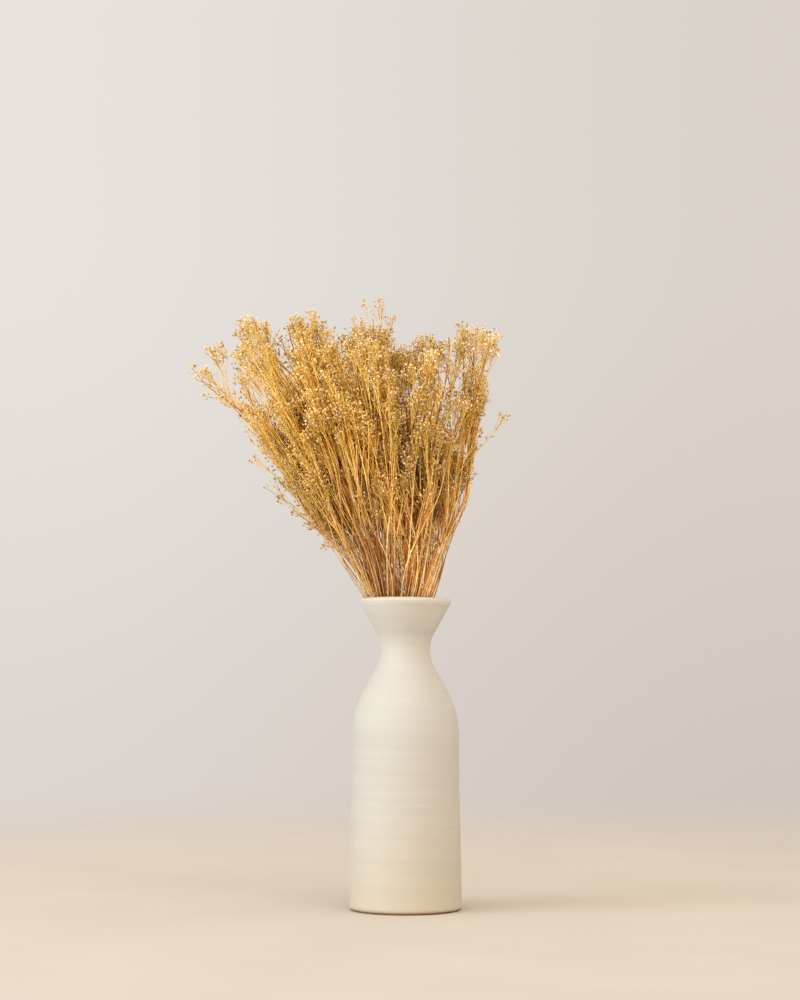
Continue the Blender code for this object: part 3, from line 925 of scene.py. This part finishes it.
class Spray:
    """One spray: its plain skeleton, and the fine stems, twigs and buds that follow it."""

    def __init__(self, index, cell, top, skeleton):
        self.cell = cell
        self.top = top
        self.path, offset, shoot_tops, self.twigs = skeleton
        self.is_wing = place(cell, top).x < AIRY_EDGE
        self.is_spike = top == SPIKE_HEIGHT
        self.rng = np.random.default_rng((FINE_SEED, index))
        self.stems = self.make_stems(offset, shoot_tops)
        self.strays = []
        self.leads = []

    def make_stems(self, offset, tops):
        """Stems on the spray's two shoots and round them."""
        extra = len(STEM_SPOTS) - len(tops)
        crown = crown_over(self.cell)
        heights = [min(top, crown) for top in tops]
        heights += list(heights[1] - self.rng.uniform(*EXTRA_DROP, extra))
        drifts = [0.0] * len(tops) + [DRIFT] * extra
        stems = []
        for (turn, reach), top, drift in zip(STEM_SPOTS, heights, drifts):
            aside = Matrix.Rotation(math.radians(turn), 2) @ offset.normalized()
            aside = aside * reach * CELL_RADIUS
            stems.append(Stem(self.cell, aside, top - STEM_SHORT, drift, self.rng))
        return stems[:AIRY_STEMS] if self.is_wing else stems

    def stem_tones(self):
        """Shares of the stems' tones: browner stems just left of the middle and inside, as painted
        shade.
        """
        # Browner stems where the bunch's shaded depth shows, and inside: painted shade
        if SHADE_GAP_SPAN[0] < place(self.cell, BLOOM_START).x < SHADE_GAP_SPAN[1]:
            return SHADE_GAP_STEM_TONES
        return SHADED_INNER_STEM_TONES if self.cell.length < INNER_REACH else OUTER_STEM_TONES

    def bud_tones(self, slot):
        """Shares of the buds' tones: paler towards the bunch's right, and brown on its spike."""
        side = min(max((place(self.cell, CROWN_MIDDLE).x - STRAW_FROM) / STRAW_OVER, 0.0), 1.0)
        shares = np.array(TONE_SHARES["bloom_amber" if self.is_spike else slot])
        shares = shares * (1.0, 1.0 + STRAW_BOOST * side, 1.0)
        return shares / shares.sum()

    def bearers(self, lines):
        """All that bears heads, the stems' ends first, and the ways that it ends in."""
        grown = [
            (line[-TWIG_POINTS:], fan_way(stem.spot(stem.top), stem.top))
            for stem, line in zip(self.stems, lines)
        ]
        for root, end in (*self.twigs, *self.strays):
            aside = drawn_in(root) - root
            start, tip = np.array(root + aside), np.array(end + aside)
            way = unit(fan_way(spot_at(end), end.z) + unit(tip - start))
            grown.append((hermite(start, unit(tip - start), tip, way, TWIG_POINTS), way))
        grown += [twig_to(point, stem, self.rng) for stem, point in self.leads]
        share = AIRY_SHARE if self.is_wing else SPIKE_SHARE if self.is_spike else 1.0
        for stem in self.stems:
            for _ in range(round(HEADS_ON_STEM * share)):
                point = head_place(stem, self.cell, self.top, self.rng)
                if point is not None:
                    grown.append(twig_to(point, stem, self.rng))
        twigs, ways = (np.array(column) for column in zip(*grown))
        return twigs, unit(ways + self.rng.normal(0, HEAD_TILT, ways.shape))

    def add_buds(self, pile, tips, ways, flecks, slot):
        """Buds on the tips of rays and stalks, and small ones along the twigs."""
        fleck_roots, fleck_places, fleck_ways = flecks
        places = np.concatenate((tips, fleck_places))
        roots = np.concatenate((tips, fleck_roots))
        count, rng = len(places), self.rng
        ways = unit(np.concatenate((ways, fleck_ways)) + rng.normal(0, BUD_TILT, (count, 3)))
        sizes = rng.uniform(*BUD_SIZES, count)
        sizes[len(tips) :] = rng.uniform(*FLECK_SIZES, len(fleck_ways))
        spins = rng.uniform(0, math.tau, count)
        tones = rng.choice(3, count, p=self.bud_tones(slot)) + FIRST_BUD_FINISH
        is_open = rng.random(count) < OPEN_SHARE
        for (template, faces), chosen in zip(bud_shapes(), (~is_open, is_open)):
            finishes = (tones[chosen], tones[chosen], np.full(chosen.sum(), INNER_FINISH))
            picked = (values[chosen] for values in (places, roots, ways, sizes, spins))
            pile.shapes(template, faces, finishes, *picked)

    def object(self, name, slot, finishes):
        pile, rng, count = Pile(), self.rng, len(self.stems)

        def add_tubes(lines, radii, sides, tones, thickness=1.0):
            radii = np.linspace(*radii, lines.shape[1]) * thickness
            pile.tubes(lines, radii, sides, rng.choice(len(tones), len(lines), p=tones))

        lines = np.array([stem.line() for stem in self.stems])
        thickness = rng.uniform(*STEM_THICKNESS, (count, 1))
        add_tubes(lines, STEM_RADII, STEM_SIDES, self.stem_tones(), thickness)
        add_tubes(stubs_along(lines, rng), STUB_RADII, TWIG_SIDES, TWIG_TONES)
        twigs, ways = self.bearers(lines)
        are_clear = [stands_clear(Vector(line[-1])) for line in twigs]
        few = np.where(np.arange(len(ways)) < count + len(self.twigs), 1, CLEAR_RAYS)
        rays = np.where(are_clear, few, rng.integers(*RAYS, len(ways)))
        add_tubes(twigs[count:], TWIG_RADII, TWIG_SIDES, TWIG_TONES)
        ray_lines, ray_ways = head_rays(twigs, ways, rays, rng)
        add_tubes(ray_lines, RAY_RADII, TWIG_SIDES, RAY_TONES)
        stalks, stalk_ways = buds_round(ray_lines, ray_ways, rng)
        pile.tubes(stalks, STALK_RADIUS, TWIG_SIDES, STALK_FINISH)
        flecks = flecks_along(twigs, AIRY_FLECKS if self.is_wing else FLECKS, rng)
        tips = np.concatenate((ray_lines[:, -1], stalks[:, -1]))
        self.add_buds(pile, tips, np.concatenate((ray_ways, stalk_ways)), flecks, slot)
        return pile.object(name, finishes)


def grown_sprays():
    """All sprays, with the frame's own draws, the stray twigs and the heads along the crown."""
    rng = random.Random(SEED)
    cells = spray_cells(rng)
    sprays = [
        Spray(index, cell, top, spray_skeleton(cell, top, rng))
        for index, (cell, top) in enumerate(zip(cells, tip_heights(cells, rng)))
    ]
    for side, root_height, rise, reach in STRAYS:
        outermost = max(sprays, key=lambda spray: side * place(spray.cell, root_height).x)
        end = on_path(outermost.path, root_height + rise) + Vector((side * reach, 0.0, 0.0))
        outermost.strays.append((on_path(outermost.path, root_height), end))
    pairs = [(spray, stem) for spray in sprays for stem in spray.stems]
    for point in crown_points(np.random.default_rng(FINE_SEED)):
        spray, stem = min(pairs, key=lambda pair: pair[1].gap(point))
        spray.leads.append((stem, point))
    return sprays


# Vase


def rounded(corner, before, after, radius):
    """The points of an arc of that radius which is tangent to both sides of a corner."""
    towards, onwards = (before - corner).normalized(), (after - corner).normalized()
    half = towards.angle(onwards) / 2
    reach = radius / math.tan(half)
    start, end = corner + towards * reach, corner + onwards * reach
    centre = corner + (towards + onwards).normalized() * (radius / math.sin(half))
    turn = math.pi - 2 * half
    steps = math.ceil(turn / ARC_STEP), math.ceil(turn * radius / TURNED_STEP)
    count = max(ARC_LEAST_STEPS, *steps)
    sign = 1 if (start - centre).cross(end - centre) > 0 else -1
    return [
        centre + Matrix.Rotation(sign * turn * i / count, 2) @ (start - centre)
        for i in range(count + 1)
    ]


def vase_profile():
    """Radius and height of the wall, from the foot's centre up the outside and down the inside."""
    inside = WAIST_RADIUS - WALL
    corners = (
        (FOOT_RADIUS, 0.0, FOOT_ROUND),
        (WAIST_RADIUS, WAIST_HEIGHT, 0),
        (WAIST_RADIUS, SHOULDER_HEIGHT, SHOULDER_ROUND),
        (NECK_RADIUS, NECK_HEIGHT, NECK_ROUND),
        (RIM_RADIUS - RIM_TILT, VASE_HEIGHT - RIM_BAND, RIM_ROUND),
        (RIM_RADIUS, VASE_HEIGHT - LIP_SLOPE, LIP_ROUND),
        (RIM_RADIUS - LIP_WIDTH, VASE_HEIGHT, LIP_ROUND),
        (NECK_RADIUS - WALL, NECK_HEIGHT, NECK_ROUND + WALL),
        (inside, SHOULDER_HEIGHT - WALL / 2, SHOULDER_ROUND - WALL),
        (inside, FLOOR_THICKNESS, FLOOR_ROUND),
    )
    ends = Vector((0.0, 0.0)), Vector((0.0, FLOOR_THICKNESS))
    places = [ends[0], *(Vector(corner[:2]) for corner in corners), ends[1]]
    profile = []
    for i, (_, _, radius) in enumerate(corners, start=1):
        if radius:
            profile += rounded(places[i], places[i - 1], places[i + 1], radius)
        else:
            profile.append(places[i])
    even = [profile[0]]
    for after in profile[1:]:
        before = even[-1]
        steps = max(1, round((after - before).length / TURNED_STEP))
        even += [before.lerp(after, i / steps) for i in range(1, steps + 1)]
    return even


def turned_wall(profile):
    """Points (n, sides, 3) of the turned wall: its throwing rings, unevenness and wavy rim."""
    turns = np.arange(TURNED_SIDES) * math.tau / TURNED_SIDES
    front, sides, lean = RIM_WAVE
    crest = front * np.maximum(-np.sin(turns), 0.0) ** 2 + sides * np.cos(turns) ** 2
    rings = []
    for p in profile:
        steady = min(p.y / RINGS_START, (VASE_HEIGHT - p.y) / RINGS_FADE, 1.0)
        wave = 0.0
        for length, depth, phase in THROWING_RINGS:
            climb = p.y + length * turns / math.tau
            wave = wave + depth * np.sin(climb / length * math.tau + phase)
        oval = OUT_OF_ROUND * np.sin(2 * turns + p.y * OVAL_TWIST) * min(p.x / FOOT_RADIUS, 1.0)
        radius = p.x + steady * (wave - RINGS_INSET + oval)
        share = max(p.y - RIM_WAVE_FROM, 0.0) / (VASE_HEIGHT - RIM_WAVE_FROM)
        height = p.y + share**2 * (crest + lean * np.cos(turns))
        rings.append(ring(radius, height, TURNED_SIDES))
    return np.array(rings)


def vase_object(finish):
    wall = turned_wall(vase_profile())
    centres = ((0.0, 0.0, 0.0), (0.0, 0.0, FLOOR_THICKNESS))
    foot_centre = len(wall) * TURNED_SIDES
    last = foot_centre - TURNED_SIDES
    i = np.arange(TURNED_SIDES)
    j = np.roll(i, -1)
    foot = np.stack((0 * i + foot_centre, j, i), axis=1)
    floor = np.stack((0 * i + foot_centre + 1, i + last, j + last), axis=1)
    pile = Pile()
    groups = (wall_faces(len(wall), TURNED_SIDES), foot, floor)
    pile.add(np.concatenate((wall.reshape(-1, 3), centres)), groups, (0, 0, 0))
    return pile.object("thrown_vase", [finish])


# Materials


class Nodes:
    """A node tree with a colour that is built up, and places from one texture coordinate."""

    def __init__(self, tree, coordinate):
        self.tree = tree
        self.place = self.add("ShaderNodeTexCoord").outputs[coordinate]
        self.axes = self.add("ShaderNodeSeparateXYZ", {"Vector": self.place}).outputs
        self.colour = WHITE

    def add(self, kind, inputs=None, **values):
        """A new node with its properties set and its inputs linked or set."""
        node = self.tree.nodes.new(kind)
        for key, value in values.items():
            setattr(node, key, value)
        for key, value in (inputs or {}).items():
            self.feed(value, node.inputs[key])
        return node

    def feed(self, value, socket):
        """Links another socket to a socket, or sets it to a number, a vector or a colour."""
        if isinstance(value, bpy.types.NodeSocket):
            self.tree.links.new(value, socket)
        elif socket.type == "RGBA":
            socket.default_value = (*value, 1.0)
        else:
            socket.default_value = value

    def noise(self, scale, detail=2.0, stretch=None, roughness=0.5):
        source = self.place
        if stretch:
            mapping = self.add("ShaderNodeMapping", {"Vector": source, "Scale": stretch})
            source = mapping.outputs["Vector"]
        inputs = {"Vector": source, "Scale": scale, "Detail": detail, "Roughness": roughness}
        return self.add("ShaderNodeTexNoise", inputs).outputs["Fac"]

    def ramp(self, source, stops):
        node = self.add("ShaderNodeValToRGB", {"Fac": source})
        ends = node.color_ramp.elements
        while len(ends) < len(stops):
            ends.new(0.5)
        for stop, (at, colour) in zip(ends, stops):
            stop.position = at
            stop.color = (*colour, 1.0)
        return node.outputs["Color"]

    def level(self, source, low, high, to_low=0.0, to_high=1.0, smooth=False):
        """The source's place between low and high, taken to to_low and to_high."""
        names = ("Value", "From Min", "From Max", "To Min", "To Max")
        inputs = dict(zip(names, (source, low, high, to_low, to_high)))
        shape = "SMOOTHSTEP" if smooth else "LINEAR"
        return self.add("ShaderNodeMapRange", inputs, interpolation_type=shape).outputs["Result"]

    def mix(self, share, first, second, blend="MIX"):
        inputs = {"Factor": share, "A": first, "B": second}
        node = self.add("ShaderNodeMix", inputs, data_type="RGBA", blend_type=blend)
        return node.outputs["Result"]

    def tint(self, tint):
        self.colour = self.mix(1.0, self.colour, tint, "MULTIPLY")

    def shade(self, source, low, high, shade, smooth=False):
        """Multiplies the colour by shade where the source is low."""
        share = self.level(source, low, high, smooth=smooth)
        self.tint(self.ramp(share, ((0.0, shade), (1.0, WHITE))))


class Finish(Nodes):
    """A material, built from its nodes."""

    def __init__(self, name):
        self.material = bpy.data.materials.new(name)
        self.material.use_nodes = True
        super().__init__(self.material.node_tree, "Object")
        self.shader = self.tree.nodes["Principled BSDF"]

    def surface(self, bumps, grain, distance, strength, roughness, specular=0.5):
        """Feeds the shader the colour, bumps and a roughness by a grain; gives the material."""
        bump = {"Height": bumps, "Distance": distance, "Strength": strength}
        inputs = {
            "Base Color": self.colour,
            "Roughness": self.level(grain, *NOISE_SPAN, *roughness),
            "Specular IOR Level": specular,
            "Normal": self.add("ShaderNodeBump", bump).outputs["Normal"],
        }
        for name, value in inputs.items():
            self.feed(value, self.shader.inputs[name])
        return self.material


def tint_and_painted_light(nodes):
    """A tint that is paler and bluer to the right, with painted shade low on the left and at the
    top, painted light at middle heights, and slanted bands of painted shadow and light.
    """
    x, z = nodes.axes["X"], nodes.axes["Z"]
    low, top = (nodes.level(z, *span, smooth=True) for span in (LOW_SPAN, TOP_SPAN))
    # Painted shade low on the left and at the top, painted light at middle heights
    left, right = (
        nodes.mix(top, nodes.mix(low, low_shade, tint), top_shade)
        for low_shade, tint, top_shade in (LEFT_PAINTED_LIGHT, RIGHT_PAINTED_LIGHT)
    )
    tint = nodes.mix(nodes.level(x, *SIDE_SPAN, smooth=True), left, right)
    # Slanted bands of painted shadow and light
    slant = nodes.add("ShaderNodeMath", {0: z, 1: BAND_SLANT, 2: x}, operation="MULTIPLY_ADD")
    first, last = PAINTED_LIGHT_BANDS[0][0], PAINTED_LIGHT_BANDS[-1][0]
    stops = [((at - first) / (last - first), tone) for at, tone in PAINTED_LIGHT_BANDS]
    painted_bands = nodes.ramp(nodes.level(slant.outputs[0], first, last), stops)
    over = nodes.level(z, *BAND_SPAN, smooth=True)
    return nodes.mix(1.0, tint, nodes.mix(over, painted_bands, WHITE), "MULTIPLY")


def bud_material(name, dark, middle, light):
    nodes = Finish(name)
    speckle = nodes.noise(scale=230, detail=1.0)
    patches = nodes.noise(scale=22, detail=1.0)
    bumps = nodes.noise(scale=1400)
    stops = ((0.0, dark), (0.5, middle), (1.0, light))
    nodes.colour = nodes.ramp(nodes.level(speckle, 0.28, 0.72), stops)
    nodes.shade(patches, *PATCH_SPAN, (0.80, 0.76, 0.66))
    # Painted shade and light across the bunch
    nodes.tint(tint_and_painted_light(nodes))
    # Buds darker low down: painted shade under the crown
    nodes.shade(nodes.axes["Z"], *BUD_RISE, LOW_BUD_SHADE, smooth=True)
    return nodes.surface(
        bumps, speckle, distance=0.0002, strength=0.6, roughness=(0.76, 0.95), specular=0.06
    )


def stem_material(name, low, high, dark):
    nodes = Finish(name)
    grain = nodes.noise(scale=260, stretch=(1.0, 1.0, 0.08))
    patches = nodes.noise(scale=30)
    marks = nodes.noise(scale=430, detail=1.0)
    nodes.colour = nodes.mix(nodes.level(nodes.axes["Z"], *STEM_RISE, smooth=True), low, high)
    nodes.shade(marks, 0.36, 0.60, (0.84, 0.75, 0.60))
    nodes.tint(nodes.mix(nodes.level(grain, *PATCH_SPAN), dark, WHITE))
    nodes.shade(patches, *PATCH_SPAN, (0.84, 0.78, 0.66))
    # Painted shade and light across the bunch
    nodes.tint(tint_and_painted_light(nodes))
    return nodes.surface(
        grain, grain, distance=0.0002, strength=0.5, roughness=(0.50, 0.70), specular=0.2
    )


def stoneware_material():
    nodes = Finish("stoneware_matte")
    broad = nodes.noise(scale=14, detail=3.0, stretch=(1.0, 1.0, 2.6))
    turning = nodes.noise(scale=60, detail=4.0, stretch=(0.14, 0.14, 7.0), roughness=0.6)
    specks = nodes.level(nodes.noise(scale=900, detail=1.0), 0.66, 0.74)
    height = nodes.axes["Z"]
    bare = nodes.level(height, *CLAY_SPAN, 1.0, 0.0, smooth=True)
    # Colours up the wall, with a painted floor reflection at the foot and painted light on the
    # collar
    nodes.colour = nodes.ramp(nodes.level(height, 0.0, VASE_HEIGHT), STONEWARE_CLIMB_AND_PAINTED_LIGHT)
    nodes.shade(broad, *NOISE_SPAN, (0.972, 0.968, 0.955))
    nodes.shade(turning, *NOISE_SPAN, (0.968, 0.963, 0.948))
    for share, colour in ((specks, SPECK_COLOUR), (bare, CLAY_COLOUR)):
        nodes.colour = nodes.mix(share, nodes.colour, colour)
    return nodes.surface(turning, broad, distance=0.0005, strength=0.20, roughness=(0.55, 0.72))


def floor_material():
    nodes = Finish("pale_floor")
    grain = nodes.noise(scale=260, detail=3.0)
    nodes.colour = nodes.ramp(nodes.level(nodes.noise(scale=6), *NOISE_SPAN), FLOOR_COLOURS)
    nodes.surface(grain, grain, distance=0.0006, strength=0.25, roughness=(0.85, 0.95))
    reach = nodes.add("ShaderNodeVectorMath", {0: nodes.place}, operation="LENGTH")
    share = nodes.level(reach.outputs["Value"], *FLOOR_FADE, smooth=True)
    clear = nodes.add("ShaderNodeBsdfTransparent").outputs[0]
    fade = nodes.add("ShaderNodeMixShader", {0: share, 1: nodes.shader.outputs[0], 2: clear})
    nodes.feed(fade.outputs[0], nodes.tree.nodes["Material Output"].inputs["Surface"])
    return nodes.material


# Setting


def build_floor():
    mesh = bpy.data.meshes.new("floor")
    points = ring(FLOOR_REACH, 0.0, FLOOR_SIDES).tolist()
    mesh.from_pydata(points, [], [list(range(FLOOR_SIDES))])
    mesh.materials.append(floor_material())
    obj = linked("floor", mesh)


def build_world():
    """The wall that the camera sees, darker to the right as painted light from the left, and the
    soft light that falls on everything.
    """
    world = bpy.data.worlds.new("studio")
    bpy.context.scene.world = world
    world.use_nodes = True
    world.node_tree.nodes.clear()
    nodes = Nodes(world.node_tree, "Generated")
    for axis, low, high, low_colour, high_colour in BACKDROP_AND_PAINTED_LIGHT:
        share = nodes.level(nodes.axes[axis], low, high, smooth=True)
        nodes.tint(nodes.mix(share, low_colour, high_colour))
    strength = nodes.level(nodes.axes["Y"], *AMBIENT_SPAN, *AMBIENT)
    wall = nodes.add("ShaderNodeBackground", {"Color": nodes.colour})
    ambient = nodes.add("ShaderNodeBackground", {"Color": AMBIENT_COLOUR, "Strength": strength})
    is_seen = nodes.add("ShaderNodeLightPath").outputs["Is Camera Ray"]
    inputs = {0: is_seen, 1: ambient.outputs[0], 2: wall.outputs[0]}
    surface = nodes.add("ShaderNodeMixShader", inputs).outputs[0]
    nodes.add("ShaderNodeOutputWorld", {"Surface": surface})


def aimed(name, data, spot, aim):
    """A new object at a spot that looks towards aim."""
    obj = linked(name, data)
    obj.location = spot
    obj.rotation_euler = (Vector(aim) - Vector(spot)).to_track_quat("-Z", "Y").to_euler()
    return obj


def build_lights():
    for name, spot, size, power, colour in LIGHTS:
        data = bpy.data.lights.new(name, "AREA")
        data.shape = "DISK"
        data.size = size
        data.energy = power
        data.color = colour
        aimed(name, data, spot, LIGHT_AIM)


def build_camera():
    data = bpy.data.cameras.new("camera")
    data.lens = CAMERA_LENS
    data.sensor_width = CAMERA_SENSOR
    bpy.context.scene.camera = aimed("camera", data, CAMERA_PLACE, CAMERA_AIM)


def build_setting():
    build_camera()
    build_world()
    build_lights()
    build_floor()
    scene = bpy.context.scene
    scene.view_settings.view_transform = "Standard"
    scene.view_settings.look = "Medium High Contrast"


def build_vase():
    vase = vase_object(stoneware_material())
    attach(vase, "root")
    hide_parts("vase")


def build_sprays():
    finishes = [stem_material(*finish) for finish in STEM_FINISHES]
    finishes += [bud_material(*finish) for finish in BUD_FINISHES]
    slots = {part["node"]: part["material_slot"] for part in frame["record"]["subparts"]}
    for number, spray in enumerate(grown_sprays(), start=1):
        node = f"spray_{number:02d}"
        piece = spray.object(f"fine_{node}", slots[node], finishes)
        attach(piece, "root")
        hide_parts(node)


build_setting()
build_vase()
build_sprays()
